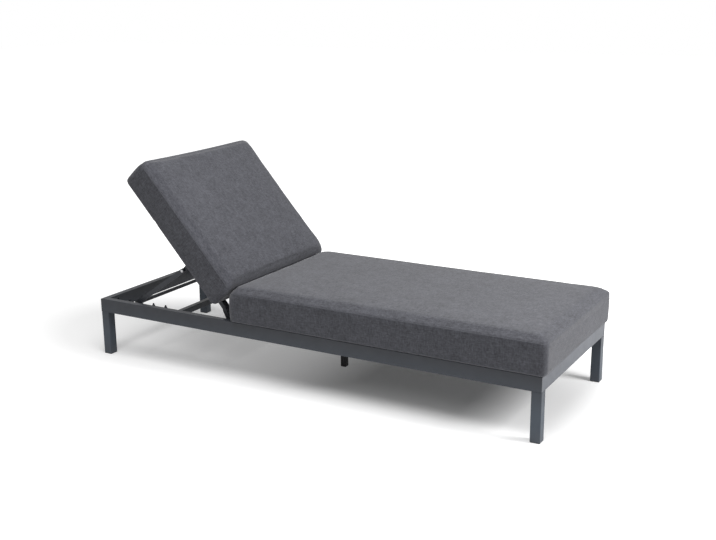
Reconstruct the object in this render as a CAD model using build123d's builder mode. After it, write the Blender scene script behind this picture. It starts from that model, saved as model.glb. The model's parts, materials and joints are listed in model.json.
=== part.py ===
"""Sun lounger with an adjustable backrest, in millimetres.

A mitred frame of rectangular aluminium tube stands on square legs. Crossbars and slats carry the
seat cushion. The backrest is a lighter mitred frame on two hinge bolts. A folding stay hangs from
lugs behind it, and the stay's bar drops into scalloped ratchet strips inside the side rails.

+X points to the foot end, +Z up, and the near side is at -Y. The origin is on the floor, in the
middle of the overall length and width.
"""

import os
from math import cos, radians, sin, sqrt

from build123d import *

# Base frame
FRAME_LENGTH = 2070.0
FRAME_WIDTH = 736.0
FRAME_TOP = 256.0
RAIL_HEIGHT = 60.0
RAIL_WIDTH = 30.0
RAIL_WALL = 2.0
RAIL_EDGE_RADIUS = 2.0

# Legs and their glides
LEG_SIDE = 40.0
LEG_WALL = 2.0
LEG_TOP_PLATE = 3.0
LEG_EDGE_RADIUS = 3.0
GLIDE_FLANGE = 3.0
GLIDE_SETBACK = 1.0
GLIDE_CHAMFER = 1.0
GLIDE_PLUG_HEIGHT = 16.0
GLIDE_PLUG_GAP = 0.3
GLIDE_PLUG_WALL = 2.5

# Crossbars, slats and the ledge at the foot rail
BAR_SIDE = 25.0
BAR_WALL = 2.0
BAR_EDGE_RADIUS = 2.0
REAR_BAR_FROM_HEAD = 695.0
MIDDLE_BAR_FROM_HEAD = 1029.5
FRONT_BAR_FROM_HEAD = 1560.0
SEAT_SLAT_COUNT = 5
SEAT_SLAT_WIDTH = 70.0
SEAT_SLAT_DEPTH = 12.0
SEAT_SLAT_SIDE_GAP = 45.0
SLAT_WALL = 2.0
SLAT_EDGE_RADIUS = 1.5
SLAT_END_GAP = 0.3
LEDGE_SIDE = 20.0
LEDGE_WALL = 2.5

# Backrest frame, measured up from the hinge line and forward from it. Its width is what the rails
# leave between the ratchet strips, the stay and the lugs.
RECLINE = 48.5
HINGE_FROM_HEAD = 664.0
HINGE_BELOW_TOP = 16.0
BACK_LENGTH = 586.0
BACK_START = 14.0
BACK_TUBE_WIDTH = 30.0
BACK_TUBE_DEPTH = 20.0
BACK_TUBE_WALL = 2.0
BACK_TUBE_EDGE_RADIUS = 2.0
BACK_TUBE_RISE = 2.0
BACK_SLAT_COUNT = 4
BACK_SLAT_WIDTH = 60.0
BACK_SLAT_DEPTH = 8.0

# Hinges: ear plate, bolt, spacer bush and blind rivet nut
PLATE = 5.0
PLATE_WELD_INSET = 0.6
EAR_RADIUS = 10.0
EAR_REACH = 44.0
BOLT_RADIUS = 4.0
BOLT_HEAD_RADIUS = 7.0
BOLT_HEAD_DEPTH = 4.0
BUSH_RADIUS = 8.0
RIVET_BODY_RADIUS = 5.5
RIVET_FLANGE_RADIUS = 7.5
RIVET_FLANGE_DEPTH = 1.0
RIVET_LENGTH = 15.0
RUNNING_GAP = 0.08
FIT_GAP = 0.1
SEAT_GAP = 0.3

# Folding stay: lugs, arms, bar, end caps, washers and nuts
LUG_ALONG = 293.0
LUG_DROP = 48.0
LUG_RADIUS = 8.0
STAY_LENGTH = 324.0
ARM_WIDTH = 20.0
ARM_THICKNESS = 5.0
ARM_EYE_RADIUS = 11.0
STAY_BAR_RADIUS = 8.0
STAY_BAR_WALL = 1.5
STAY_BAR_BELOW_TOP = 11.0
CAP_DEPTH = 2.4
CAP_CHAMFER = 1.2
CAP_SPIGOT_LENGTH = 12.0
WASHER_RADIUS = 8.0
WASHER_DEPTH = 1.2
NUT_RADIUS = 7.0
NUT_DEPTH = 5.0

# Ratchet strips: channels whose inner web has round valleys between narrow tips
STRIP_WIDTH = 15.6
STRIP_WALL = 3.0
WEB_THICKNESS = 4.0
WEB_SIDE_GAP = 0.5
STRIP_FLANGE_HEIGHT = 18.0
STRIP_BEND_RADIUS = 2.0
STRIP_HEAD_GAP = 2.0
STRIP_TAIL = 16.0
NOTCH_PITCH = 67.0
HEAD_NOTCH_COUNT = 1
FOOT_NOTCH_COUNT = 2
TIP_ABOVE_TOP = 5.5
TIP_WIDTH = 3.0
WEB_BELOW_VALLEY = 18.0
PARKING_DROP = 7.0
PARKING_RAMP = 8.0
SCREW_COUNT = 2
SCREW_INSET = 40.0
SCREW_RADIUS = 2.4
SCREW_HEAD_RADIUS = 4.5
SCREW_HEAD_DEPTH = 3.0
SCREW_REACH = 9.0
DRIVER_HOLE_RADIUS = 5.5

# Bar under the backrest, which carries it when it lies flat
REST_BAR_GAP = 3.0

# Cushions
FOOT_OVERHANG = 17.0
SIDE_OVERHANG = 12.0
SEAT_CUSHION_FROM_HEAD = 705.0
SEAT_CUSHION_THICKNESS = 147.0
BACK_CUSHION_START = 75.0
BACK_CUSHION_LENGTH = 667.0
BACK_CUSHION_THICKNESS = 144.0
CUSHION_SEAT_GAP = 0.5
SEAT_SHOULDER = 46.0
BACK_SHOULDER = 40.0
BACK_MEETING_SHOULDER = 52.0
CUSHION_FOOT_RADIUS = 4.0
CUSHION_CORNER_RADIUS = 24.0
CUSHION_BULGE = 2.5
CUSHION_DRAW_IN = 3.0
CUSHION_CROWN = 4.0
CUSHION_CROWN_RUN = 150.0
BULGE_HEIGHT_SHARE = 0.46
CORNER_GROWTH_SHARE = 0.3
FOOT_ROUND_SHARES = (0.3, 1.0)
SHOULDER_ROUND_SHARES = (1.0, 0.6, 0.33, 0.15, 0.035)
CROWN_STEP_SHARES = ((0.35, 0.6), (1.0, 1.0))

# One overrun serves all cuts
OVERRUN = 1.0

# Places worked out from the sizes above
HEAD_X = -(FRAME_LENGTH + FOOT_OVERHANG) / 2
FOOT_X = HEAD_X + FRAME_LENGTH
FRAME_CENTRE_X = (HEAD_X + FOOT_X) / 2
RAIL_BOTTOM = FRAME_TOP - RAIL_HEIGHT
RAIL_INSIDE = FRAME_WIDTH / 2 - RAIL_WIDTH
HEAD_INSIDE_X = HEAD_X + RAIL_WIDTH
FOOT_INSIDE_X = FOOT_X - RAIL_WIDTH
SLAT_BOTTOM = FRAME_TOP - SEAT_SLAT_DEPTH

ALONG = Vector(-cos(radians(RECLINE)), 0, sin(radians(RECLINE)))
FRONT = Vector(sin(radians(RECLINE)), 0, cos(radians(RECLINE)))
ACROSS = Vector(0, 1, 0)
HINGE = Vector(HEAD_X + HINGE_FROM_HEAD, 0, FRAME_TOP - HINGE_BELOW_TOP)
BACK_FRONT = BACK_TUBE_RISE + BACK_TUBE_DEPTH
BACK_MIDDLE = BACK_TUBE_RISE + BACK_TUBE_DEPTH / 2

PIVOT = HINGE + ALONG * LUG_ALONG - FRONT * LUG_DROP
STAY_BAR_Z = FRAME_TOP - STAY_BAR_BELOW_TOP
STAY_BAR_X = PIVOT.X - sqrt(STAY_LENGTH**2 - (PIVOT.Z - STAY_BAR_Z) ** 2)
STAY_DIRECTION = Vector(STAY_BAR_X - PIVOT.X, 0, STAY_BAR_Z - PIVOT.Z)

WEB_INSIDE = RAIL_INSIDE - STRIP_WIDTH
ARM_OUTSIDE = WEB_INSIDE - WEB_SIDE_GAP - CAP_DEPTH
ARM_INSIDE = ARM_OUTSIDE - ARM_THICKNESS
LUG_OUTSIDE = ARM_INSIDE - SEAT_GAP - WASHER_DEPTH
BACK_SIDE = LUG_OUTSIDE - PLATE
BACK_INSIDE = BACK_SIDE - BACK_TUBE_WIDTH

VALLEY_Z = STAY_BAR_Z - STAY_BAR_RADIUS
TIP_Z = FRAME_TOP + TIP_ABOVE_TOP
STRIP_BOTTOM = VALLEY_Z - WEB_BELOW_VALLEY
FIRST_TIP_X = STAY_BAR_X - (HEAD_NOTCH_COUNT + 1 / 2) * NOTCH_PITCH
NOTCH_COUNT = HEAD_NOTCH_COUNT + 1 + FOOT_NOTCH_COUNT
STRIP_START_X = HEAD_INSIDE_X + STRIP_HEAD_GAP
STRIP_END_X = FIRST_TIP_X + NOTCH_COUNT * NOTCH_PITCH + STRIP_TAIL
SCREW_Z = STRIP_BOTTOM + (STRIP_WALL + STRIP_FLANGE_HEIGHT) / 2
SCREW_PITCH = (STRIP_END_X - STRIP_START_X - 2 * SCREW_INSET) / (SCREW_COUNT - 1)
SCREW_PLACES = [(STRIP_START_X + SCREW_INSET + i * SCREW_PITCH, SCREW_Z) for i in range(SCREW_COUNT)]


def save(piece, name):
    """Label a finished piece and write it as its own file."""
    piece.part.label = name
    export_step(piece.part, f"parts/{name}.step")


def save_pair(piece, name):
    """Write the near piece and its mirror image on the far side."""
    save(piece, f"{name}_near")
    with BuildPart() as far_piece:
        mirror(piece.part, about=Plane.XZ)
    save(far_piece, f"{name}_far")


def save_both(piece, name):
    """Write the near piece and its mirror image together, as separate solids of one node."""
    with BuildPart() as both:
        add(piece.part)
        mirror(piece.part, about=Plane.XZ)
    save(both, name)


def back_point(along, across, front):
    """A point in the backrest's own directions, measured from the hinge line."""
    return HINGE + ALONG * along + ACROSS * across + FRONT * front


def near_plane(point, across):
    """An upright plane that faces the near side, with its origin level with a point."""
    return Plane(Vector(point.X, -across, point.Z), x_dir=(1, 0, 0), z_dir=(0, -1, 0))


def back_side_plane(across):
    """The same plane turned to the backrest: x runs up the back and y forward."""
    return Plane(back_point(0, -across, 0), x_dir=ALONG, z_dir=ACROSS)


def mitred_tube(plane, length, width, depth, wall, edge_radius):
    """A rectangular tube with 45 degree ends, its longer side along the plane's x axis."""
    with BuildPart() as tube:
        with BuildSketch(plane):
            with BuildLine():
                Polyline(
                    (-length / 2, 0),
                    (length / 2, 0),
                    (length / 2 - width, width),
                    (width - length / 2, width),
                    close=True,
                )
            make_face()
        extrude(amount=depth)
        fillet(tube.edges().filter_by(Axis(plane.origin, plane.x_dir)), edge_radius)
        end = plane.from_local_coords(Vector(-length / 2, 0, 0))
        with BuildSketch(Plane(end, x_dir=plane.y_dir, z_dir=plane.x_dir)):
            with Locations((width / 2, depth / 2)):
                Rectangle(width - 2 * wall, depth - 2 * wall)
        extrude(amount=length, mode=Mode.SUBTRACT)
    return tube


def crossbar(start_x, top):
    """A square tube between the side rails, its head-end face at start_x."""
    with BuildPart() as bar:
        with BuildSketch(Plane.XZ.offset(-RAIL_INSIDE)):
            with Locations((start_x + BAR_SIDE / 2, top - BAR_SIDE / 2)):
                RectangleRounded(BAR_SIDE, BAR_SIDE, BAR_EDGE_RADIUS)
                Rectangle(BAR_SIDE - 2 * BAR_WALL, BAR_SIDE - 2 * BAR_WALL, mode=Mode.SUBTRACT)
        extrude(amount=2 * RAIL_INSIDE)
    return bar


def slat(plane, width, depth, length):
    """A channel-section slat, open on the plane's x axis, its far corners rounded."""
    with BuildPart() as channel:
        with BuildSketch(plane) as section:
            with Locations((0, depth / 2)):
                Rectangle(width, depth)
            fillet(section.vertices().sort_by(Axis.Y)[-2:], SLAT_EDGE_RADIUS)
            with Locations((0, (depth - SLAT_WALL) / 2)):
                Rectangle(width - 2 * SLAT_WALL, depth - SLAT_WALL, mode=Mode.SUBTRACT)
        extrude(amount=length)
    return channel


def square_leg(x, y, side, wall, edge_radius, top):
    """A square tube from its glide up to a welded top plate."""
    height = top - GLIDE_FLANGE
    with BuildPart() as leg:
        with BuildSketch(Plane.XY.offset(GLIDE_FLANGE)):
            with Locations((x, y)):
                RectangleRounded(side, side, edge_radius)
        extrude(amount=height)
        with BuildSketch(Plane.XY.offset(GLIDE_FLANGE)):
            with Locations((x, y)):
                Rectangle(side - 2 * wall, side - 2 * wall)
        extrude(amount=height - LEG_TOP_PLATE, mode=Mode.SUBTRACT)
    return leg


def leg_glide(x, y, side, wall):
    """A plastic foot: a chamfered flange under the tube and a hollow plug inside it."""
    flange_side = side - 2 * GLIDE_SETBACK
    plug_side = side - 2 * (wall + GLIDE_PLUG_GAP)
    with BuildPart() as glide:
        with BuildSketch():
            with Locations((x, y)):
                Rectangle(flange_side, flange_side)
        extrude(amount=GLIDE_FLANGE)
        chamfer(glide.faces().sort_by(Axis.Z)[0].edges(), GLIDE_CHAMFER)
        with BuildSketch(Plane.XY.offset(GLIDE_FLANGE)):
            with Locations((x, y)):
                Rectangle(plug_side, plug_side)
                Rectangle(
                    plug_side - 2 * GLIDE_PLUG_WALL,
                    plug_side - 2 * GLIDE_PLUG_WALL,
                    mode=Mode.SUBTRACT,
                )
                Rectangle(plug_side - GLIDE_PLUG_WALL, GLIDE_PLUG_WALL)
                Rectangle(GLIDE_PLUG_WALL, plug_side - GLIDE_PLUG_WALL)
        extrude(amount=GLIDE_PLUG_HEIGHT)
    return glide


def bolt(plane, shank_length):
    """A hexagon-head bolt: the head stands behind the plane, the shank runs along its normal."""
    with BuildPart() as screw:
        with BuildSketch(plane):
            RegularPolygon(BOLT_HEAD_RADIUS, 6)
        extrude(amount=-BOLT_HEAD_DEPTH)
        with BuildSketch(plane):
            Circle(BOLT_RADIUS)
        extrude(amount=shank_length)
    return screw


def ring(plane, outside_radius, bore_radius, length):
    """A plain ring that stands on a plane."""
    with BuildPart() as collar:
        with BuildSketch(plane):
            Circle(outside_radius)
            Circle(bore_radius, mode=Mode.SUBTRACT)
        extrude(amount=length)
    return collar


def round_inset(radius, depth):
    """How far a quarter round of this radius has drawn in at a depth below its end."""
    if depth >= radius:
        return 0.0
    return radius - sqrt(radius**2 - (radius - depth) ** 2)


def pillow_outline(plane, start, end, half_width, corner, draw_in):
    """A rounded rectangle whose four sides draw in a little between the corners."""
    shift = corner * (1 - cos(radians(45)))
    middle = (start + end) / 2
    near, far = -half_width, half_width
    with BuildSketch(plane) as outline:
        with BuildLine():
            ThreePointArc((start + corner, near), (middle, near + draw_in), (end - corner, near))
            ThreePointArc((end - corner, near), (end - shift, near + shift), (end, near + corner))
            ThreePointArc((end, near + corner), (end - draw_in, 0), (end, far - corner))
            ThreePointArc((end, far - corner), (end - shift, far - shift), (end - corner, far))
            ThreePointArc((end - corner, far), (middle, far - draw_in), (start + corner, far))
            ThreePointArc((start + corner, far), (start + shift, far - shift), (start, far - corner))
            ThreePointArc((start, far - corner), (start + draw_in, 0), (start, near + corner))
            ThreePointArc((start, near + corner), (start + shift, near + shift), (start + corner, near))
        make_face()
    return outline.sketch


def cushion(plane, length, thickness, shoulder, meeting_shoulder):
    """A foam block in a tight cover. The plane holds its underside, x from the meeting end."""
    half_width = FRAME_WIDTH / 2 + SIDE_OVERHANG
    swell = BULGE_HEIGHT_SHARE * thickness

    def outline(height, extra, rise):
        """The cushion's outline at a height, drawn in by extra all round and lifted by rise."""
        slack = CUSHION_BULGE * ((height - swell) / (thickness - swell)) ** 2
        slack += round_inset(CUSHION_FOOT_RADIUS, height) + extra
        start = slack + round_inset(meeting_shoulder, thickness - height)
        side = slack + round_inset(shoulder, thickness - height)
        corner = CUSHION_CORNER_RADIUS + CORNER_GROWTH_SHARE * side
        level = plane.offset(height + rise)
        return pillow_outline(level, start, length - side, half_width - side, corner, CUSHION_DRAW_IN)

    heights = [0.0]
    heights += [CUSHION_FOOT_RADIUS * share for share in FOOT_ROUND_SHARES]
    heights += [swell]
    heights += [thickness - meeting_shoulder * share for share in SHOULDER_ROUND_SHARES]
    heights += [thickness]
    crown = [(0.0, 0.0), *CROWN_STEP_SHARES]
    with BuildPart() as block:
        loft([outline(height, 0, 0) for height in heights], ruled=True)
        loft(
            [outline(thickness, CUSHION_CROWN_RUN * run, CUSHION_CROWN * rise) for run, rise in crown],
            ruled=True,
        )
    return block


os.makedirs("parts", exist_ok=True)

# Side rails, with holes for the hinge rivet nuts and the strip screws in their inner walls
side_blank = mitred_tube(
    Plane((FRAME_CENTRE_X, -FRAME_WIDTH / 2, RAIL_BOTTOM)),
    FRAME_LENGTH,
    RAIL_WIDTH,
    RAIL_HEIGHT,
    RAIL_WALL,
    RAIL_EDGE_RADIUS,
)
with BuildPart() as side_rail:
    add(side_blank.part)
    with BuildSketch(Plane.XZ.offset(RAIL_INSIDE - OVERRUN)):
        with Locations((HINGE.X, HINGE.Z)):
            Circle(RIVET_BODY_RADIUS + FIT_GAP)
        with Locations(*SCREW_PLACES):
            Circle(SCREW_RADIUS + FIT_GAP)
    extrude(amount=RAIL_WALL + 2 * OVERRUN, mode=Mode.SUBTRACT)
save_pair(side_rail, "side_rail")

# End rails
head_rail = mitred_tube(
    Plane((HEAD_X, 0, RAIL_BOTTOM), x_dir=(0, -1, 0), z_dir=(0, 0, 1)),
    FRAME_WIDTH,
    RAIL_WIDTH,
    RAIL_HEIGHT,
    RAIL_WALL,
    RAIL_EDGE_RADIUS,
)
save(head_rail, "head_rail")
foot_rail = mitred_tube(
    Plane((FOOT_X, 0, RAIL_BOTTOM), x_dir=(0, 1, 0), z_dir=(0, 0, 1)),
    FRAME_WIDTH,
    RAIL_WIDTH,
    RAIL_HEIGHT,
    RAIL_WALL,
    RAIL_EDGE_RADIUS,
)
save(foot_rail, "foot_rail")

# Corner legs and their glides
LEG_Y = (LEG_SIDE - FRAME_WIDTH) / 2
for end_name, leg_x in (("head", HEAD_X + LEG_SIDE / 2), ("foot", FOOT_X - LEG_SIDE / 2)):
    corner_leg = square_leg(leg_x, LEG_Y, LEG_SIDE, LEG_WALL, LEG_EDGE_RADIUS, RAIL_BOTTOM)
    save_pair(corner_leg, f"leg_{end_name}")
    corner_glide = leg_glide(leg_x, LEG_Y, LEG_SIDE, LEG_WALL)
    save_pair(corner_glide, f"leg_glide_{end_name}")

# Crossbars under the seat, and the bar that carries the backrest when it lies flat
for bar_name, from_head in (
    ("rear", REAR_BAR_FROM_HEAD),
    ("middle", MIDDLE_BAR_FROM_HEAD),
    ("front", FRONT_BAR_FROM_HEAD),
):
    save(crossbar(HEAD_X + from_head, SLAT_BOTTOM), f"seat_bar_{bar_name}")
REST_BAR_X = HINGE.X - LUG_ALONG + ARM_WIDTH / 2 + REST_BAR_GAP
rest_bar = crossbar(REST_BAR_X, HINGE.Z + BACK_TUBE_RISE - SEAT_GAP)
save(rest_bar, "back_rest_bar")

# Middle leg under the middle crossbar
MIDDLE_LEG_X = HEAD_X + MIDDLE_BAR_FROM_HEAD + BAR_SIDE / 2
middle_leg = square_leg(MIDDLE_LEG_X, 0, BAR_SIDE, BAR_WALL, BAR_EDGE_RADIUS, SLAT_BOTTOM - BAR_SIDE)
save(middle_leg, "middle_leg")
middle_glide = leg_glide(MIDDLE_LEG_X, 0, BAR_SIDE, BAR_WALL)
save(middle_glide, "middle_leg_glide")

# Seat slats, from the rear crossbar to the ledge at the foot rail
SLAT_START_X = HEAD_X + REAR_BAR_FROM_HEAD
SLAT_SPREAD = 2 * (RAIL_INSIDE - SEAT_SLAT_SIDE_GAP) - SEAT_SLAT_WIDTH
for i in range(SEAT_SLAT_COUNT):
    slat_y = SLAT_SPREAD * (i / (SEAT_SLAT_COUNT - 1) - 1 / 2)
    seat_slat = slat(
        Plane((SLAT_START_X, slat_y, SLAT_BOTTOM), x_dir=(0, 1, 0), z_dir=(1, 0, 0)),
        SEAT_SLAT_WIDTH,
        SEAT_SLAT_DEPTH,
        FOOT_INSIDE_X - SLAT_END_GAP - SLAT_START_X,
    )
    save(seat_slat, f"seat_slat_{i + 1}")

with BuildPart() as slat_ledge:
    with BuildSketch(Plane.XZ.offset(-RAIL_INSIDE)):
        with BuildLine():
            Polyline(
                (FOOT_INSIDE_X, SLAT_BOTTOM),
                (FOOT_INSIDE_X - LEDGE_SIDE, SLAT_BOTTOM),
                (FOOT_INSIDE_X - LEDGE_SIDE, SLAT_BOTTOM - LEDGE_WALL),
                (FOOT_INSIDE_X - LEDGE_WALL, SLAT_BOTTOM - LEDGE_WALL),
                (FOOT_INSIDE_X - LEDGE_WALL, SLAT_BOTTOM - LEDGE_SIDE),
                (FOOT_INSIDE_X, SLAT_BOTTOM - LEDGE_SIDE),
                close=True,
            )
        make_face()
    extrude(amount=2 * RAIL_INSIDE)
save(slat_ledge, "slat_ledge")

# Ratchet strips. The web is drawn from the side: a parking place at the head end, then round
# valleys between narrow tips. A floor and a fixing flange fold out from it to the rail.
first_tip_start = FIRST_TIP_X - TIP_WIDTH / 2
last_tip_end = FIRST_TIP_X + NOTCH_COUNT * NOTCH_PITCH + TIP_WIDTH / 2
parking_z = VALLEY_Z - PARKING_DROP
with BuildPart() as ratchet_strip:
    with BuildSketch(Plane.XZ.offset(WEB_INSIDE)):
        with BuildLine():
            Polyline(
                (last_tip_end, TIP_Z),
                (STRIP_END_X, STRIP_BOTTOM + STRIP_FLANGE_HEIGHT),
                (STRIP_END_X, STRIP_BOTTOM),
                (STRIP_START_X, STRIP_BOTTOM),
                (STRIP_START_X, parking_z),
                (first_tip_start - PARKING_RAMP, parking_z),
                (first_tip_start, TIP_Z),
                (first_tip_start + TIP_WIDTH, TIP_Z),
            )
            for i in range(NOTCH_COUNT):
                tip_x = FIRST_TIP_X + i * NOTCH_PITCH
                valley_start = tip_x + TIP_WIDTH / 2
                valley_end = tip_x + NOTCH_PITCH - TIP_WIDTH / 2
                ThreePointArc(
                    (valley_start, TIP_Z), (tip_x + NOTCH_PITCH / 2, VALLEY_Z), (valley_end, TIP_Z)
                )
                Line((valley_end, TIP_Z), (valley_end + TIP_WIDTH, TIP_Z))
        make_face()
    extrude(amount=WEB_THICKNESS)
    with BuildSketch(Plane.YZ.offset(STRIP_START_X)):
        with BuildLine():
            Polyline(
                (-WEB_INSIDE, STRIP_BOTTOM),
                (-RAIL_INSIDE, STRIP_BOTTOM),
                (-RAIL_INSIDE, STRIP_BOTTOM + STRIP_FLANGE_HEIGHT),
                (STRIP_WALL - RAIL_INSIDE, STRIP_BOTTOM + STRIP_FLANGE_HEIGHT),
                (STRIP_WALL - RAIL_INSIDE, STRIP_BOTTOM + STRIP_WALL),
                (-WEB_INSIDE, STRIP_BOTTOM + STRIP_WALL),
                close=True,
            )
        make_face()
    extrude(amount=STRIP_END_X - STRIP_START_X)
    bends = ratchet_strip.edges().filter_by(Axis.X).group_by(Axis.Z)[0]
    fillet(bends, STRIP_BEND_RADIUS)
    with BuildSketch(Plane.XZ.offset(WEB_INSIDE - OVERRUN)):
        with Locations(*SCREW_PLACES):
            Circle(DRIVER_HOLE_RADIUS)
    extrude(amount=WEB_THICKNESS + 2 * OVERRUN, mode=Mode.SUBTRACT)
    with BuildSketch(Plane.XZ.offset(RAIL_INSIDE - STRIP_WALL - OVERRUN)):
        with Locations(*SCREW_PLACES):
            Circle(SCREW_RADIUS + FIT_GAP)
    extrude(amount=STRIP_WALL + 2 * OVERRUN, mode=Mode.SUBTRACT)
save_pair(ratchet_strip, "ratchet_strip")

with BuildPart() as strip_screws:
    with BuildSketch(Plane.XZ.offset(RAIL_INSIDE - STRIP_WALL)):
        with Locations(*SCREW_PLACES):
            RegularPolygon(SCREW_HEAD_RADIUS, 6)
    extrude(amount=-SCREW_HEAD_DEPTH)
    with BuildSketch(Plane.XZ.offset(RAIL_INSIDE - STRIP_WALL)):
        with Locations(*SCREW_PLACES):
            Circle(SCREW_RADIUS)
    extrude(amount=SCREW_REACH)
save_both(strip_screws, "strip_screws")

# Hinge hardware on the rails
hinge_bolt = bolt(
    near_plane(HINGE, BACK_SIDE - SEAT_GAP), RAIL_INSIDE + RIVET_LENGTH - BACK_SIDE + SEAT_GAP
)
save_both(hinge_bolt, "hinge_bolts")
hinge_bush = ring(
    near_plane(HINGE, LUG_OUTSIDE + SEAT_GAP),
    BUSH_RADIUS,
    BOLT_RADIUS + FIT_GAP,
    RAIL_INSIDE - RIVET_FLANGE_DEPTH - LUG_OUTSIDE - SEAT_GAP,
)
save_both(hinge_bush, "hinge_bushes")
with BuildPart() as rivet_nut:
    with BuildSketch(near_plane(HINGE, RAIL_INSIDE - RIVET_FLANGE_DEPTH)):
        Circle(RIVET_FLANGE_RADIUS)
    extrude(amount=RIVET_FLANGE_DEPTH)
    with BuildSketch(near_plane(HINGE, RAIL_INSIDE)):
        Circle(RIVET_BODY_RADIUS)
    extrude(amount=RIVET_LENGTH)
    with BuildSketch(near_plane(HINGE, RAIL_INSIDE - RIVET_FLANGE_DEPTH)):
        Circle(BOLT_RADIUS + FIT_GAP)
    extrude(amount=RIVET_FLANGE_DEPTH + RIVET_LENGTH, mode=Mode.SUBTRACT)
save_both(rivet_nut, "hinge_rivet_nuts")

# Backrest frame. Its tubes are drawn on the face that carries the cushion.
back_side_tube = mitred_tube(
    Plane(
        back_point(BACK_START + BACK_LENGTH / 2, -BACK_SIDE, BACK_FRONT), x_dir=ALONG, z_dir=-FRONT
    ),
    BACK_LENGTH,
    BACK_TUBE_WIDTH,
    BACK_TUBE_DEPTH,
    BACK_TUBE_WALL,
    BACK_TUBE_EDGE_RADIUS,
)
save_pair(back_side_tube, "back_side_tube")
for end_name, along, direction in (
    ("top", BACK_START + BACK_LENGTH, ACROSS),
    ("bottom", BACK_START, -ACROSS),
):
    back_end_tube = mitred_tube(
        Plane(back_point(along, 0, BACK_FRONT), x_dir=direction, z_dir=-FRONT),
        2 * BACK_SIDE,
        BACK_TUBE_WIDTH,
        BACK_TUBE_DEPTH,
        BACK_TUBE_WALL,
        BACK_TUBE_EDGE_RADIUS,
    )
    save(back_end_tube, f"back_{end_name}_tube")

BACK_SLAT_PITCH = (BACK_LENGTH - BACK_TUBE_WIDTH) / (BACK_SLAT_COUNT + 1)
for i in range(BACK_SLAT_COUNT):
    along = BACK_START + BACK_TUBE_WIDTH / 2 + (i + 1) * BACK_SLAT_PITCH
    back_slat = slat(
        Plane(
            back_point(along, -BACK_INSIDE, BACK_FRONT - BACK_SLAT_DEPTH), x_dir=ALONG, z_dir=ACROSS
        ),
        BACK_SLAT_WIDTH,
        BACK_SLAT_DEPTH,
        2 * BACK_INSIDE,
    )
    save(back_slat, f"back_slat_{i + 1}")

# Hinge ears and stay lugs: plates welded to the outside of the backrest's side tubes
with BuildPart() as hinge_ear:
    with BuildSketch(back_side_plane(LUG_OUTSIDE)):
        Circle(EAR_RADIUS)
        with Locations((EAR_REACH, BACK_MIDDLE)):
            Circle(BACK_TUBE_DEPTH / 2 - PLATE_WELD_INSET)
        make_hull()
        Circle(BOLT_RADIUS + RUNNING_GAP, mode=Mode.SUBTRACT)
    extrude(amount=PLATE)
save_both(hinge_ear, "hinge_ears")

with BuildPart() as stay_lug:
    with BuildSketch(back_side_plane(LUG_OUTSIDE)):
        with Locations((LUG_ALONG, -LUG_DROP)):
            Circle(LUG_RADIUS)
        with Locations((LUG_ALONG, BACK_MIDDLE)):
            Circle(BACK_TUBE_DEPTH / 2 - PLATE_WELD_INSET)
        make_hull()
        with Locations((LUG_ALONG, -LUG_DROP)):
            Circle(BOLT_RADIUS + FIT_GAP, mode=Mode.SUBTRACT)
    extrude(amount=PLATE)
save_both(stay_lug, "stay_lugs")

pivot_bolt = bolt(near_plane(PIVOT, BACK_SIDE), ARM_OUTSIDE + SEAT_GAP + NUT_DEPTH - BACK_SIDE)
save_both(pivot_bolt, "stay_pivot_bolts")
pivot_washer = ring(near_plane(PIVOT, LUG_OUTSIDE), WASHER_RADIUS, BOLT_RADIUS + FIT_GAP, WASHER_DEPTH)
save_both(pivot_washer, "stay_pivot_washers")
with BuildPart() as pivot_nut:
    with BuildSketch(near_plane(PIVOT, ARM_OUTSIDE + SEAT_GAP)):
        RegularPolygon(NUT_RADIUS, 6)
        Circle(BOLT_RADIUS + FIT_GAP, mode=Mode.SUBTRACT)
    extrude(amount=NUT_DEPTH)
save_both(pivot_nut, "stay_pivot_nuts")

# Stay: flat arms, the bar through their eyes, and its end caps
STAY_BAR = Vector(STAY_BAR_X, 0, STAY_BAR_Z)
with BuildPart() as stay_arm:
    with BuildSketch(
        Plane(Vector(PIVOT.X, -ARM_INSIDE, PIVOT.Z), x_dir=STAY_DIRECTION, z_dir=(0, -1, 0))
    ):
        with Locations((STAY_LENGTH / 2, 0)):
            SlotCenterToCenter(STAY_LENGTH, ARM_WIDTH)
        with Locations((STAY_LENGTH, 0)):
            Circle(ARM_EYE_RADIUS)
            Circle(STAY_BAR_RADIUS + FIT_GAP, mode=Mode.SUBTRACT)
        Circle(BOLT_RADIUS + RUNNING_GAP, mode=Mode.SUBTRACT)
    extrude(amount=ARM_THICKNESS)
save_both(stay_arm, "stay_arms")

stay_bar = ring(
    near_plane(STAY_BAR, -ARM_OUTSIDE),
    STAY_BAR_RADIUS,
    STAY_BAR_RADIUS - STAY_BAR_WALL,
    2 * ARM_OUTSIDE,
)
save(stay_bar, "stay_bar")

with BuildPart() as bar_cap:
    with BuildSketch(near_plane(STAY_BAR, ARM_OUTSIDE)):
        Circle(STAY_BAR_RADIUS)
    extrude(amount=CAP_DEPTH)
    chamfer(bar_cap.edges().group_by(Axis.Y)[0], CAP_CHAMFER)
    with BuildSketch(near_plane(STAY_BAR, ARM_OUTSIDE)):
        Circle(STAY_BAR_RADIUS - STAY_BAR_WALL - FIT_GAP)
    extrude(amount=-CAP_SPIGOT_LENGTH)
save_both(bar_cap, "stay_bar_caps")

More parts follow.
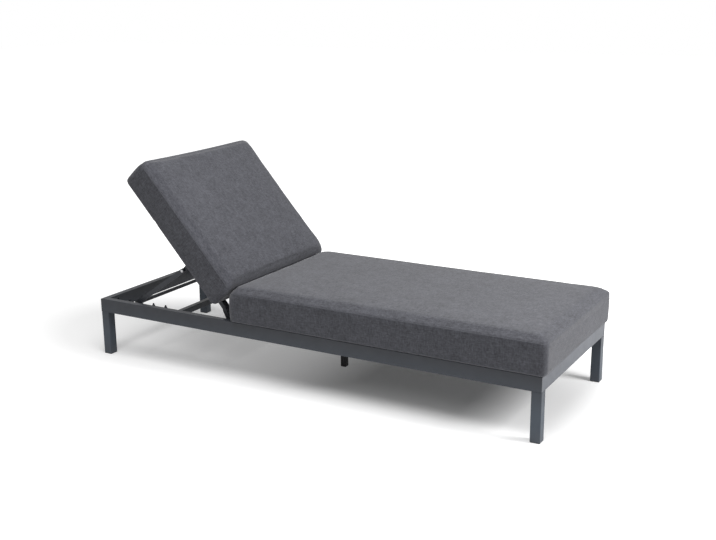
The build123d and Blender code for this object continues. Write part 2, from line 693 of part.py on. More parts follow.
# Cushions. The back cushion's lower end has the larger shoulder, which leaves room for the fold.
seat_cushion = cushion(
    Plane((HEAD_X + SEAT_CUSHION_FROM_HEAD, 0, FRAME_TOP + CUSHION_SEAT_GAP)),
    FRAME_LENGTH + FOOT_OVERHANG - SEAT_CUSHION_FROM_HEAD,
    SEAT_CUSHION_THICKNESS,
    SEAT_SHOULDER,
    SEAT_SHOULDER,
)
save(seat_cushion, "seat_cushion")
back_cushion = cushion(
    Plane(back_point(BACK_CUSHION_START, 0, BACK_FRONT + CUSHION_SEAT_GAP), x_dir=ALONG, z_dir=FRONT),
    BACK_CUSHION_LENGTH,
    BACK_CUSHION_THICKNESS,
    BACK_SHOULDER,
    BACK_MEETING_SHOULDER,
)
save(back_cushion, "back_cushion")
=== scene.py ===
"""Sun lounger: finishes, cushions, floor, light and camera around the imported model.

Lengths are in metres, in the model's own frame: +X to the foot end, near side at -Y, floor at Z 0.
"""

import json
import math

import bpy
from mathutils import Matrix, Vector
from mathutils.bvhtree import BVHTree


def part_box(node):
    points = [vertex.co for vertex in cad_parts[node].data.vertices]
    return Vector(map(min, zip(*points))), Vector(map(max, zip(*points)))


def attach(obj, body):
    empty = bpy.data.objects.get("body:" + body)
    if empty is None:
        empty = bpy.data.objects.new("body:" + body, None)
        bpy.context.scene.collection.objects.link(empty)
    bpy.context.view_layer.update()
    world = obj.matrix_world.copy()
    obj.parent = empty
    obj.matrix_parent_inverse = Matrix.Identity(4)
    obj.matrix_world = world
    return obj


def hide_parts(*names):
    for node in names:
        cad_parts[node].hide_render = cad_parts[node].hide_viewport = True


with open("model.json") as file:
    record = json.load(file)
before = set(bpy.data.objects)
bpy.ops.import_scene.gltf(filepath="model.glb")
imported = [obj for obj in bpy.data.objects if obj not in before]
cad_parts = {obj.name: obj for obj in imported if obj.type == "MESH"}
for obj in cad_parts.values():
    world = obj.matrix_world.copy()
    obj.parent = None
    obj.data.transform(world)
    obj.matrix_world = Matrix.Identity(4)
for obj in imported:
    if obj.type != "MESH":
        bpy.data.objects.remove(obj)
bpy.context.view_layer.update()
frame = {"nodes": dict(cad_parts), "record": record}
scene = bpy.context.scene

# Camera, solved from the frame's corners in the photograph
PHOTO_WIDTH = 716
FOCAL_PIXELS = 1063.27
SENSOR_WIDTH = 36.0
CAMERA_PLACE = Vector((2.2170, -3.7427, 1.6042))
CAMERA_YAW = math.radians(29.843)
CAMERA_PITCH = math.radians(15.095)
CAMERA_ROLL = math.radians(-0.515)

# Softboxes, each with its place, its target, its side and its power in watts, and the world's plain strength
KEY_LIGHT = ((2.9, 0.2, 1.7), (0.9, 0.0, 0.35), 1.0, 72)
OVERHEAD_LIGHT = ((0.30, -0.9, 3.3), (0.0, 0.0, 0.3), 2.6, 120)
WORLD_STRENGTH = 0.19

# Reclined back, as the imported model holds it
RECLINE = math.radians(48.5)
UP_THE_BACK = Vector((-math.cos(RECLINE), 0, math.sin(RECLINE)))
BACK_FRONT = Vector((math.sin(RECLINE), 0, math.cos(RECLINE)))

# Even mesh of a cushion, before it swells
VOXEL_SIZE = 0.010
WRAP_SMOOTHING = 0.5
WRAP_SMOOTHING_ROUNDS = 2

# Cover as cloth, blown up from inside
CLOTH_FRAMES = 20
CLOTH_QUALITY = 4
CLOTH_MASS = 0.3
CLOTH_STRETCH_STIFFNESS = 40
CLOTH_SHEAR_STIFFNESS = 10
CLOTH_BENDING_STIFFNESS = 2.0
CLOTH_PRESSURE = 4.0
CLOTH_SLACK = 0.01

# The cover swells outward and settles inward by at most these caps, and lies flat below FLAT_DEPTH
SWELL_CAP = 0.0035
SETTLE_CAP = 0.0008
SWELL_SMOOTHING_ROUNDS = 10
FLAT_DEPTH = 0.004

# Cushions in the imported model: thickness, and radius of the rounded shoulder
SEAT_THICKNESS = 0.147
BACK_THICKNESS = 0.144
SEAT_SHOULDER = 0.046
BACK_SHOULDER = 0.040

# Stuffed shoulders: the slope at which the sleeping panel runs down to its seam, and the stretch beside the
# meeting end over which the filling sets in
SHOULDER_SLOPE = math.radians(28)
SHOULDER_FADE = (0.015, 0.070)

# The panels' far corners in plan, and how much of the way out to that round a point is moved
SEAT_CORNER = 0.024
SEAT_CORNER_FILL = 0.7
BACK_CORNER = 0.060
BACK_CORNER_FILL = 0.0

# Seams: fine beads that run round each cushion, under the sleeping panel and above the underside
SEAM_RADIUS = 0.0013
SEAM_SUNK_SHARE = 0.35
SEAM_BEVEL_STEPS = 2
SEAM_STEP = 0.012
SEAM_CORNER = 0.026
SEAM_CORNER_DEGREES = 15
UPPER_SEAM_DROP = 0.021
LOWER_SEAM_RISE = 0.004

# Colours, linear
FRAME_GRAPHITE = (0.0220, 0.0244, 0.0306)
# Paler graphite low on the frame: painted light for the white floor's bounce
FLOOR_BOUNCE_GRAPHITE = (0.053, 0.066, 0.084)
# Foot rail: the frame's graphite made paler, as painted light from the softbox beyond the foot end
FOOT_RAIL_LIT_GRAPHITE = (0.068, 0.074, 0.087)
FRAME_BLACK = (0.012, 0.012, 0.015)
DUST_TONE = (0.16, 0.15, 0.14)
YARN_DARK = (0.0242, 0.0247, 0.0295)
YARN_LIGHT = (0.102, 0.104, 0.1205)
SEAM_YARN = (0.032, 0.033, 0.040)
PLASTIC_BLACK = (0.012, 0.012, 0.013)
ZINC = (0.42, 0.42, 0.43)
FLOOR_PALE = (0.80, 0.80, 0.80)
WHITE = (1, 1, 1, 1)

# Powder coat: its mottling, the heights between which it pales with painted light from the floor's bounce,
# and under which it gathers dust
COAT_DARK_GAIN = 0.80
COAT_PALE_GAIN = 1.35
COAT_PALE_LIFT = 0.004
COAT_ROUGHNESS_SPREAD = 0.16
FLOOR_BOUNCE_START = 0.24
FLOOR_BOUNCE_END = 0.10
DUST_HEIGHT = 0.0625
DUST_STRENGTH = 0.22

# Woven covers: contrast and middle of the yarns' tones, pitch of the ribs, and the slubs' share in the relief
YARN_GAIN = 3.9
YARN_MIDDLE = 0.44
RIB_PITCH = 0.0014
SLUB_RELIEF = 0.8

# Floor, and how far its darkest paint falls short of its palest
FLOOR_SIZE = 40
FLOOR_DROP = 0.0005
FLOOR_DARK_GAIN = 0.97

# The floor's own glow, which shows it white but lights nothing: faint under the lounger and full far away, so
# that near the lounger it paints shade around the real shadow, and GLOW_NEAR lifts that shadow as painted
# light.
# The distance is taken from a line through the lounger, and counts less past its ends. Towards the head end
# the glow doesn't fall below a set level, painted light in the shadow under the raised back.
GLOW_CENTRE_X = -0.05
GLOW_HALF_LENGTH = 0.85
GLOW_END_SHARE = 0.7
GLOW_START = 0.05
GLOW_END = 1.25
GLOW_NEAR = 0.07
HEAD_PAINTED_LIGHT = 0.29
HEAD_PAINTED_LIGHT_START = 0.42
HEAD_PAINTED_LIGHT_END = -0.40


def new_material(name):
    """A node material with its tree and principled shader."""
    material = bpy.data.materials.new(name)
    material.use_nodes = True
    return material, material.node_tree, material.node_tree.nodes["Principled BSDF"]


def node(tree, kind, **values):
    """A node of a kind. A value is a property of the node, or the default of an input of that name."""
    made = tree.nodes.new(kind)
    for key, value in values.items():
        if hasattr(made, key):
            setattr(made, key, value)
        else:
            made.inputs[key.replace("_", " ")].default_value = value
    return made


def maths(tree, operation, first, second=None, third=None):
    """A maths node. An argument is a number or an output socket."""
    made = tree.nodes.new("ShaderNodeMath")
    made.operation = operation
    for socket, value in zip(made.inputs, (first, second, third)):
        if value is None:
            continue
        if isinstance(value, (int, float)):
            socket.default_value = value
        else:
            tree.links.new(value, socket)
    return made.outputs[0]


def mix_colour(tree, factor, low, high):
    """A colour between two, by a factor socket. Each of the two is a linear colour or an output socket."""
    made = tree.nodes.new("ShaderNodeMix")
    made.data_type = "RGBA"
    tree.links.new(factor, made.inputs["Factor"])
    for socket, value in ((made.inputs[6], low), (made.inputs[7], high)):
        if isinstance(value, tuple):
            socket.default_value = (*value, 1)
        else:
            tree.links.new(value, socket)
    return made.outputs[2]


def scaled(colour, gain, lift=0.0):
    """A colour times a gain, plus a lift."""
    return tuple(channel * gain + lift for channel in colour)


def object_place(tree):
    """The socket of a point's place in its object."""
    return node(tree, "ShaderNodeTexCoord").outputs["Object"]


def axes(tree, vector):
    """The sockets X, Y and Z of a vector socket."""
    split = node(tree, "ShaderNodeSeparateXYZ")
    tree.links.new(vector, split.inputs[0])
    return split.outputs


def ramp(tree, value, start, end, low=0.0, high=1.0, shape="LINEAR"):
    """A value socket between start and end, turned into a value between low and high."""
    made = node(tree, "ShaderNodeMapRange", interpolation_type=shape)
    made.inputs["From Min"].default_value = start
    made.inputs["From Max"].default_value = end
    made.inputs["To Min"].default_value = low
    made.inputs["To Max"].default_value = high
    tree.links.new(value, made.inputs["Value"])
    return made.outputs["Result"]


def noise(tree, coordinates, scale, detail=3.0, stretch=None):
    """A noise texture's value over coordinates, which stretch multiplies axis by axis."""
    if stretch is not None:
        mapping = node(tree, "ShaderNodeMapping")
        mapping.inputs["Scale"].default_value = stretch
        tree.links.new(coordinates, mapping.inputs["Vector"])
        coordinates = mapping.outputs["Vector"]
    texture = node(tree, "ShaderNodeTexNoise", Scale=scale, Detail=detail)
    tree.links.new(coordinates, texture.inputs["Vector"])
    return texture.outputs["Fac"]


def bump(tree, shader, height, strength, distance):
    """Drive the shader's normal from a height socket."""
    made = node(tree, "ShaderNodeBump", Strength=strength, Distance=distance)
    tree.links.new(height, made.inputs["Height"])
    tree.links.new(made.outputs["Normal"], shader.inputs["Normal"])


def varied_roughness(tree, shader, value, low, spread):
    """Let the shader's roughness follow a value socket, from low upward by spread."""
    tree.links.new(maths(tree, "MULTIPLY_ADD", value, spread, low), shader.inputs["Roughness"])


def powder_coat(name, colour, roughness, floor_bounce_colour=None):
    """A matt powder coat: fine orange peel, faint mottling and a little dust near the floor.

    Where a floor-bounce colour is given, the coat pales to it towards the floor: painted light, standing for
    light bounced up from the white floor.
    """
    material, tree, shader = new_material(name)
    place = object_place(tree)
    height = axes(tree, place)["Z"]
    dark = scaled(colour, COAT_DARK_GAIN)
    pale = scaled(colour, COAT_PALE_GAIN, COAT_PALE_LIFT)
    base = mix_colour(tree, noise(tree, place, scale=14.0, detail=4.0), dark, pale)
    if floor_bounce_colour is not None:
        # Painted light: the coat pales towards the floor, standing for light bounced up from the white floor
        base = mix_colour(tree, ramp(tree, height, FLOOR_BOUNCE_START, FLOOR_BOUNCE_END), base, floor_bounce_colour)
    low = maths(tree, "MULTIPLY_ADD", height, -1 / DUST_HEIGHT, 1.0)
    low = maths(tree, "MAXIMUM", low, 0.0)
    dust = maths(tree, "MULTIPLY", low, noise(tree, place, scale=60.0, detail=6.0))
    dust = maths(tree, "MULTIPLY", dust, DUST_STRENGTH)
    tree.links.new(mix_colour(tree, dust, base, DUST_TONE), shader.inputs["Base Color"])
    smoothest = roughness - COAT_ROUGHNESS_SPREAD / 2
    patches = noise(tree, place, scale=35.0, detail=5.0)
    varied_roughness(tree, shader, patches, smoothest, COAT_ROUGHNESS_SPREAD)
    bump(tree, shader, noise(tree, place, scale=900.0, detail=2.0), strength=0.10, distance=0.0004)
    shader.inputs["Specular IOR Level"].default_value = 0.32
    return material


def moulded_plastic(name, colour):
    """Moulded plastic with a fine spark-eroded grain. The seams' thread has this finish too."""
    material, tree, shader = new_material(name)
    place = object_place(tree)
    base = mix_colour(tree, noise(tree, place, scale=80.0), colour, scaled(colour, 2.0))
    tree.links.new(base, shader.inputs["Base Color"])
    varied_roughness(tree, shader, noise(tree, place, scale=120.0), low=0.5, spread=0.2)
    bump(tree, shader, noise(tree, place, scale=1500.0, detail=1.0), strength=0.15, distance=0.0002)
    return material


def zinc_plate(name, colour):
    """Zinc-plated steel: metallic, with fine cloudy spangle."""
    material, tree, shader = new_material(name)
    place = object_place(tree)
    base = mix_colour(tree, noise(tree, place, scale=160.0, detail=4.0), scaled(colour, 0.7), colour)
    tree.links.new(base, shader.inputs["Base Color"])
    shader.inputs["Metallic"].default_value = 1.0
    varied_roughness(tree, shader, noise(tree, place, scale=240.0), low=0.28, spread=0.25)
    bump(tree, shader, noise(tree, place, scale=700.0, detail=2.0), strength=0.08, distance=0.0002)
    return material


def yarn_streaks(tree, place, towards, scale, stretch):
    """Noise drawn out along each of three directions, each used on the faces in which that yarn lies.

    towards says for each direction how far a face looks that way.
    """
    streaks, weights = 0.0, 0.0
    for axis in range(3):
        stretches = [1.0, 1.0, 1.0]
        stretches[axis] = stretch
        streak = noise(tree, place, scale, detail=2.0, stretch=stretches)
        weight = maths(tree, "SUBTRACT", 1.0, towards[axis])
        streaks = maths(tree, "MULTIPLY_ADD", streak, weight, streaks)
        weights = maths(tree, "ADD", weight, weights)
    return maths(tree, "DIVIDE", streaks, weights)


def heather_weave(name, tilt, top_gain):
    """Heather charcoal cloth. Yarns run along the cushion's own three directions, turned by tilt.

    The sleeping panel's yarns differ more in tone than the others, by top_gain.
    """
    material, tree, shader = new_material(name)
    coordinates = node(tree, "ShaderNodeTexCoord")
    turns = []
    for output, kind in (("Object", "POINT"), ("Normal", "NORMAL")):
        turn = node(tree, "ShaderNodeMapping", vector_type=kind)
        turn.inputs["Rotation"].default_value = (0, tilt, 0)
        tree.links.new(coordinates.outputs[output], turn.inputs["Vector"])
        turns.append(turn.outputs["Vector"])
    place, facing = turns
    normal = axes(tree, facing)
    towards = [maths(tree, "POWER", maths(tree, "ABSOLUTE", normal[axis]), 2.0) for axis in "XYZ"]

    # Tone: each noise with its share
    slubs = yarn_streaks(tree, place, towards, scale=520.0, stretch=0.16)
    melange = yarn_streaks(tree, place, towards, scale=170.0, stretch=0.30)
    fine = noise(tree, place, scale=1500.0, detail=1.0)
    broad = noise(tree, place, scale=26.0, detail=4.0)
    cloud = noise(tree, place, scale=5.0, detail=2.0)
    heather = 0.0
    for value, share in ((slubs, 0.34), (melange, 0.34), (fine, 0.15), (broad, 0.11), (cloud, 0.06)):
        heather = maths(tree, "MULTIPLY_ADD", value, share, heather)
    gain = maths(tree, "MULTIPLY_ADD", towards[2], top_gain, YARN_GAIN)
    tone = maths(tree, "MULTIPLY_ADD", maths(tree, "SUBTRACT", heather, 0.5), gain, YARN_MIDDLE)
    tone = maths(tree, "MINIMUM", maths(tree, "MAXIMUM", tone, 0.0), 1.0)
    tree.links.new(mix_colour(tree, tone, YARN_DARK, YARN_LIGHT), shader.inputs["Base Color"])

    # Weave relief: crossing ribs of the two yarns that lie in the face
    position = axes(tree, place)
    ribs = [
        maths(tree, "SINE", maths(tree, "MULTIPLY", position[axis], math.pi / RIB_PITCH))
        for axis in "XYZ"
    ]
    relief = 0.0
    for axis in range(3):
        crossing = maths(tree, "MULTIPLY", ribs[(axis + 1) % 3], ribs[(axis + 2) % 3])
        relief = maths(tree, "MULTIPLY_ADD", crossing, towards[axis], relief)
    relief = maths(tree, "MULTIPLY_ADD", slubs, SLUB_RELIEF, relief)
    bump(tree, shader, relief, strength=0.15, distance=0.0003)
    shader.inputs["Roughness"].default_value = 0.92
    shader.inputs["Specular IOR Level"].default_value = 0.25
    shader.inputs["Sheen Weight"].default_value = 0.27
    shader.inputs["Sheen Roughness"].default_value = 0.45
    return material


def mesh_of(source_name):
    """A copy of a CAD node's mesh in the model's frame."""
    source = frame["nodes"][source_name]
    mesh = source.data.copy()
    mesh.transform(source.matrix_world)
    return mesh


def shade_smooth(mesh):
    """Smooth faces all over a mesh."""
    for face in mesh.polygons:
        face.use_smooth = True


def new_object(name, mesh, material):
    """A named object in the scene with one material and smooth faces."""
    made = bpy.data.objects.new(name, mesh)
    scene.collection.objects.link(made)
    mesh.materials.clear()
    mesh.materials.append(material)
    shade_smooth(mesh)
    return made


def apply_modifiers(made):
    """Replace an object's mesh by what its modifiers make of it."""
    evaluated = made.evaluated_get(bpy.context.evaluated_depsgraph_get())
    mesh = bpy.data.meshes.new_from_object(evaluated)
    made.modifiers.clear()
    old = made.data
    made.data = mesh
    bpy.data.meshes.remove(old)


def own_frame(origin, along, up):
    """A cushion's own frame: X along it from the meeting end, Y across, Z from its underside upward."""
    turn = Matrix((along, up.cross(along), up)).transposed().to_4x4()
    return Matrix.Translation(origin) @ turn


def keep_flat_underside(points):
    """Lift any point that sank under the underside's plane, and settle those near it onto the plane."""
    for point in points:
        if point.z < FLAT_DEPTH:
            point.z = max(point.z, 0.0) ** 2 / FLAT_DEPTH


def smooth_share(value, low, high):
    """0 up to low, 1 from high, and a smooth rise between them."""
    share = min(max((value - low) / (high - low), 0.0), 1.0)
    return share * share * (3 - 2 * share)


def stuffed_reach(side, top, radius):
    """How far a stuffed shoulder reaches from the round one's centre, towards a point that lies aside and up.

    The sleeping panel leaves the round at SHOULDER_SLOPE and runs straight down to the side panel.
    """
    turn = math.atan2(side, top)
    if turn <= SHOULDER_SLOPE:
        return radius
    return radius * min(1 / math.cos(turn - SHOULDER_SLOPE), 1 / math.sin(turn))


def fill_shoulders(points, size, shoulder):
    """Fill out the shoulders of both long sides and of the far end, as a well stuffed cover does.

    size is the cushion's length, half width and thickness. shoulder is the radius of its round shoulder, the
    radius of its far corners in plan, and the share by which a point inside that round is moved out to it.
    """
    length, half_width, thickness = size
    radius, corner, corner_fill = shoulder
    for point in points:
        # Outward in plan: straight from a straight edge, and round the corner near one
        reach_x = point.x - (length - corner)
        reach_y = abs(point.y) - (half_width - corner)
        if reach_x > 0 and reach_y > 0:
            inset = corner - math.hypot(reach_x, reach_y)
            outward = Vector((reach_x, math.copysign(reach_y, point.y), 0)).normalized()
        elif reach_x > reach_y:
            inset = corner - reach_x
            outward = Vector((1, 0, 0))
        else:
            inset = corner - reach_y
            outward = Vector((0, math.copysign(1, point.y), 0))
        side = radius - inset
        top = point.z - thickness + radius
        if side <= 0 or top <= 0:
            continue
        reach = math.hypot(side, top)
        wanted = stuffed_reach(side, top, radius)
        if wanted <= reach:
            continue
        move = wanted - radius + corner_fill * max(radius - reach, 0.0)
        move *= smooth_share(point.x, *SHOULDER_FADE)
        point += (outward * side + Vector((0, 0, top))) * (move / reach)


def smoothed(values, edges, rounds):
    """Values per vertex, each averaged with its neighbours' a number of times."""
    for _ in range(rounds):
        sums, counts = list(values), [1] * len(values)
        for first, second in edges:
            sums[first] += values[second]
            sums[second] += values[first]
            counts[first] += 1
            counts[second] += 1
        values = [total / count for total, count in zip(sums, counts)]
    return values


def remeshed_cushion(name, source_name, material, place):
    """The CAD cushion in its own frame with an even mesh, wrapped back onto its form."""
    made = new_object(name, mesh_of(source_name), material)
    form = new_object(f"{name}_form", mesh_of(source_name), material)
    for mesh in (made.data, form.data):
        mesh.transform(place.inverted())
    remesh = made.modifiers.new("remesh", "REMESH")
    remesh.mode = "VOXEL"
    remesh.voxel_size = VOXEL_SIZE
    wrap = made.modifiers.new("wrap", "SHRINKWRAP")
    wrap.target = form
    smooth = made.modifiers.new("smooth", "SMOOTH")
    smooth.factor = WRAP_SMOOTHING
    smooth.iterations = WRAP_SMOOTHING_ROUNDS
    apply_modifiers(made)
    bpy.data.objects.remove(form)
    return made


def blow_up(cover):
    """Blow a cover up as cloth. Each point keeps its move along its normal, smoothed and capped."""
    starts = [vertex.co.copy() for vertex in cover.data.vertices]
    normals = [vertex.normal.copy() for vertex in cover.data.vertices]
    cloth = cover.modifiers.new("cover", "CLOTH")
    cloth.settings.quality = CLOTH_QUALITY
    cloth.settings.mass = CLOTH_MASS
    cloth.settings.tension_stiffness = CLOTH_STRETCH_STIFFNESS
    cloth.settings.compression_stiffness = CLOTH_STRETCH_STIFFNESS
    cloth.settings.shear_stiffness = CLOTH_SHEAR_STIFFNESS
    cloth.settings.bending_stiffness = CLOTH_BENDING_STIFFNESS
    cloth.settings.shrink_min = -CLOTH_SLACK
    cloth.settings.use_pressure = True
    cloth.settings.uniform_pressure_force = CLOTH_PRESSURE
    cloth.settings.effector_weights.gravity = 0
    cloth.collision_settings.use_collision = False
    cloth.point_cache.frame_start = 1
    cloth.point_cache.frame_end = CLOTH_FRAMES
    for step in range(1, CLOTH_FRAMES + 1):
        scene.frame_set(step)
    apply_modifiers(cover)
    scene.frame_set(1)
    mesh = cover.data
    moves = [
        (vertex.co - start).dot(normal)
        for vertex, start, normal in zip(mesh.vertices, starts, normals)
    ]
    moves = smoothed(moves, [tuple(edge.vertices) for edge in mesh.edges], SWELL_SMOOTHING_ROUNDS)
    for vertex, start, normal, out in zip(mesh.vertices, starts, normals, moves):
        cap = SWELL_CAP if out > 0 else SETTLE_CAP
        vertex.co = start + normal * (cap * math.tanh(out / cap))


def stuffed_cushion(name, source_name, material, place, size, shoulder):
    """The CAD cushion as a filled cover: remeshed, blown up, its shoulders filled out, and subdivided.

    All of it happens in the cushion's own frame, which place turns into the model's frame.
    """
    made = remeshed_cushion(name, source_name, material, place)
    blow_up(made)
    points = [vertex.co for vertex in made.data.vertices]
    fill_shoulders(points, size, shoulder)
    keep_flat_underside(points)
    subdivide = made.modifiers.new("round", "SUBSURF")
    subdivide.levels = 1
    subdivide.render_levels = 1
    apply_modifiers(made)
    made.data.transform(place)
    shade_smooth(made.data)
    return made


def seam_loop(name, cushion, points, material, body):
    """A raised seam: a fine round bead laid on the cushion, through its surface's points nearest to these."""
    tree = BVHTree.FromObject(cushion, bpy.context.evaluated_depsgraph_get())
    curve = bpy.data.curves.new(name, "CURVE")
    curve.dimensions = "3D"
    curve.bevel_depth = SEAM_RADIUS
    curve.bevel_resolution = SEAM_BEVEL_STEPS
    spline = curve.splines.new("POLY")
    spline.points.add(len(points) - 1)
    for entry, point in zip(spline.points, points):
        place, normal, _, _ = tree.find_nearest(point)
        entry.co = (*(place - normal * SEAM_RADIUS * SEAM_SUNK_SHARE), 1)
    spline.use_cyclic_u = True
    made = bpy.data.objects.new(name, curve)
    scene.collection.objects.link(made)
    curve.materials.append(material)
    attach(made, body)


def rounded_loop(length, half_width, height, corner):
    """Points round a rounded rectangle in a cushion's own frame, at a height over its underside."""
    points = []
    centres = (
        (length - corner, half_width - corner, 0),
        (corner, half_width - corner, 90),
        (corner, corner - half_width, 180),
        (length - corner, corner - half_width, 270),
    )
    for centre_x, centre_y, start in centres:
        for turn in range(0, 91, SEAM_CORNER_DEGREES):
            angle = math.radians(start + turn)
            x = centre_x + corner * math.cos(angle)
            y = centre_y + corner * math.sin(angle)
            points.append(Vector((x, y, height)))
    loop = []
    for first, second in zip(points, points[1:] + points[:1]):
        steps = max(1, round((second - first).length / SEAM_STEP))
        loop += [first.lerp(second, i / steps) for i in range(steps)]
    return loop


def build_cushion(name, source_name, material, body, place, size, shoulder):
    """A cushion with its two perimeter seams, riding on a body and standing for its CAD solid."""
    length, half_width, thickness = size
    cushion = stuffed_cushion(name, source_name, material, place, size, shoulder)
    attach(cushion, body)
    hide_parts(source_name)
    for label, height in (("upper", thickness - UPPER_SEAM_DROP), ("lower", LOWER_SEAM_RISE)):
        loop = rounded_loop(length, half_width, height, SEAM_CORNER)
        seam_loop(f"{name}_seam_{label}", cushion, [place @ point for point in loop], SEAM_MATERIAL, body)


def paint_nodes(materials):
    """Give every carried-over node the finish of its record slot, and the foot rail a paler copy of the
    graphite coat: painted light from the softbox beyond the foot end.
    """
    slots = {part["node"]: part["material_slot"] for part in frame["record"]["subparts"]}
    for name, made in frame["nodes"].items():
        made.data.materials.clear()
        # The foot rail's paler coat is painted light from the softbox beyond the foot end
        made.data.materials.append(materials["foot_rail" if name == "foot_rail" else slots[name]])


def shows_background(tree):
    """1 for a camera, glossy or transmission ray, and 0 for a ray that carries light to the object."""
    rays = node(tree, "ShaderNodeLightPath")
    seen = maths(tree, "MAXIMUM", rays.outputs["Is Camera Ray"], rays.outputs["Is Glossy Ray"])
    return maths(tree, "MAXIMUM", seen, rays.outputs["Is Transmission Ray"])


def painted_floor_glow(tree, place):
    """The strength of the floor's glow at a place socket: painted shade near the lounger, and painted light
    under its head end.
    """
    split = axes(tree, place)
    along = maths(tree, "ABSOLUTE", maths(tree, "SUBTRACT", split["X"], GLOW_CENTRE_X))
    along = maths(tree, "MAXIMUM", maths(tree, "SUBTRACT", along, GLOW_HALF_LENGTH), 0.0)
    along = maths(tree, "MULTIPLY", along, GLOW_END_SHARE)
    away = maths(tree, "MULTIPLY", split["Y"], split["Y"])
    away = maths(tree, "SQRT", maths(tree, "MULTIPLY_ADD", along, along, away))
    # Painted shade: the glow is faint near the lounger and full far away
    around = ramp(tree, away, GLOW_START, GLOW_END, GLOW_NEAR, 1.0, shape="SMOOTHSTEP")
    # Painted light: under the head end the floor is lifted, where the raised back casts its shadow
    head = ramp(tree, split["X"], HEAD_PAINTED_LIGHT_START, HEAD_PAINTED_LIGHT_END, 0.0, HEAD_PAINTED_LIGHT, shape="SMOOTHSTEP")
    return maths(tree, "MAXIMUM", around, head)


def build_floor():
    """A pale floor that keeps the shadow. Its glow, which lights nothing, paints shade near the lounger and
    light under its head end.
    """
    bpy.ops.mesh.primitive_plane_add(size=FLOOR_SIZE, location=(0, 0, -FLOOR_DROP))
    floor = bpy.context.object
    floor.name = "floor"
    material = bpy.data.materials.new("floor_with_painted_shadow")
    material.use_nodes = True
    tree = material.node_tree
    tree.nodes.clear()
    place = object_place(tree)
    paint = node(tree, "ShaderNodeBsdfDiffuse")
    mottling = noise(tree, place, scale=3.0, detail=3.0)
    tint = mix_colour(tree, mottling, scaled(FLOOR_PALE, FLOOR_DARK_GAIN), FLOOR_PALE)
    tree.links.new(tint, paint.inputs["Color"])
    glow = node(tree, "ShaderNodeEmission", Color=WHITE)
    strength = maths(tree, "MULTIPLY", shows_background(tree), painted_floor_glow(tree, place))
    tree.links.new(strength, glow.inputs["Strength"])
    both = node(tree, "ShaderNodeAddShader")
    tree.links.new(paint.outputs[0], both.inputs[0])
    tree.links.new(glow.outputs[0], both.inputs[1])
    output = node(tree, "ShaderNodeOutputMaterial")
    tree.links.new(both.outputs[0], output.inputs["Surface"])
    floor.data.materials.append(material)


def build_world():
    """A world that looks white and lights the object faintly."""
    world = bpy.data.worlds.new("studio")
    scene.world = world
    world.use_nodes = True
    tree = world.node_tree
    strength = maths(tree, "MULTIPLY_ADD", shows_background(tree), 1 - WORLD_STRENGTH, WORLD_STRENGTH)
    background = tree.nodes["Background"]
    background.inputs["Color"].default_value = WHITE
    tree.links.new(strength, background.inputs["Strength"])


def area_light(name, place, target, size, power):
    """A square softbox that faces a target."""
    lamp = bpy.data.lights.new(name, "AREA")
    lamp.shape = "SQUARE"
    lamp.size = size
    lamp.energy = power
    made = bpy.data.objects.new(name, lamp)
    made.location = place
    made.rotation_euler = (Vector(target) - Vector(place)).to_track_quat("-Z", "Y").to_euler()
    scene.collection.objects.link(made)


def build_lights():
    """A low softbox beyond the foot end and a large one overhead, a little to the near side."""
    area_light("key", *KEY_LIGHT)
    area_light("overhead", *OVERHEAD_LIGHT)


def build_camera():
    """The photograph's camera, from its place and three angles."""
    heading = Vector((-math.sin(CAMERA_YAW), math.cos(CAMERA_YAW), 0))
    forward = heading * math.cos(CAMERA_PITCH) - Vector((0, 0, 1)) * math.sin(CAMERA_PITCH)
    right = Vector((math.cos(CAMERA_YAW), math.sin(CAMERA_YAW), 0))
    up = right.cross(forward)
    roll = Matrix.Rotation(-CAMERA_ROLL, 3, forward)
    turn = Matrix((roll @ right, roll @ up, -forward)).transposed().to_4x4()
    lens = bpy.data.cameras.new("photo_camera")
    lens.sensor_width = SENSOR_WIDTH
    lens.lens = FOCAL_PIXELS * SENSOR_WIDTH / PHOTO_WIDTH
    camera = bpy.data.objects.new("photo_camera", lens)
    camera.matrix_world = Matrix.Translation(CAMERA_PLACE) @ turn
    scene.collection.objects.link(camera)
    scene.camera = camera


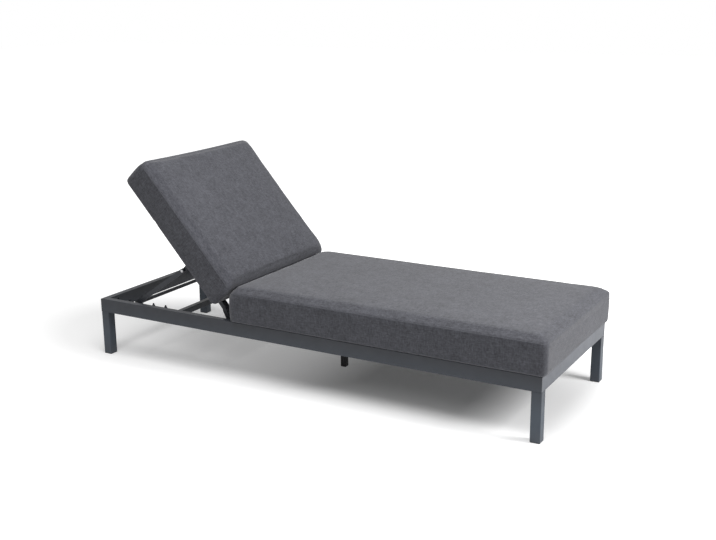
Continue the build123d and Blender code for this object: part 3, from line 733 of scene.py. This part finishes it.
def extent(points, direction):
    """The least and the greatest reach of points in a direction."""
    reaches = [point.dot(direction) for point in points]
    return min(reaches), max(reaches)


MATERIALS = {
    "frame": powder_coat("graphite_coat", FRAME_GRAPHITE, roughness=0.50, floor_bounce_colour=FLOOR_BOUNCE_GRAPHITE),
    # The foot rail's coat is paler only as painted light from the softbox beyond the foot end
    "foot_rail": powder_coat("foot_rail_lit_coat", FOOT_RAIL_LIT_GRAPHITE, roughness=0.50),
    "dark_frame": powder_coat("black_coat", FRAME_BLACK, roughness=0.55),
    "cushion_fabric": heather_weave("seat_weave", tilt=0.0, top_gain=1.0),
    "black_plastic": moulded_plastic("black_plastic", PLASTIC_BLACK),
    "zinc_hardware": zinc_plate("zinc_plate", ZINC),
}
BACK_WEAVE = heather_weave("back_weave", tilt=-RECLINE, top_gain=0.0)
SEAM_MATERIAL = moulded_plastic("seam_yarn", SEAM_YARN)

paint_nodes(MATERIALS)

# Each cushion's own origin is the middle of its underside's edge at the end where the two meet
seat_low, seat_high = (Vector(corner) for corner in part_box("seat_cushion"))
half_width = seat_high.y
build_cushion(
    "seat_cushion_cover", "seat_cushion", MATERIALS["cushion_fabric"], "base",
    place=own_frame(Vector((seat_low.x, 0, seat_low.z)), Vector((1, 0, 0)), Vector((0, 0, 1))),
    size=(seat_high.x - seat_low.x, half_width, SEAT_THICKNESS),
    shoulder=(SEAT_SHOULDER, SEAT_CORNER, SEAT_CORNER_FILL),
)
back_points = [vertex.co for vertex in mesh_of("back_cushion").vertices]
back_start, back_end = extent(back_points, UP_THE_BACK)
back_underside, _ = extent(back_points, BACK_FRONT)
build_cushion(
    "back_cushion_cover", "back_cushion", BACK_WEAVE, "loose_cushion",
    place=own_frame(UP_THE_BACK * back_start + BACK_FRONT * back_underside, UP_THE_BACK, BACK_FRONT),
    size=(back_end - back_start, half_width, BACK_THICKNESS),
    shoulder=(BACK_SHOULDER, BACK_CORNER, BACK_CORNER_FILL),
)

build_floor()
build_world()
build_lights()
build_camera()
scene.view_settings.view_transform = "Standard"
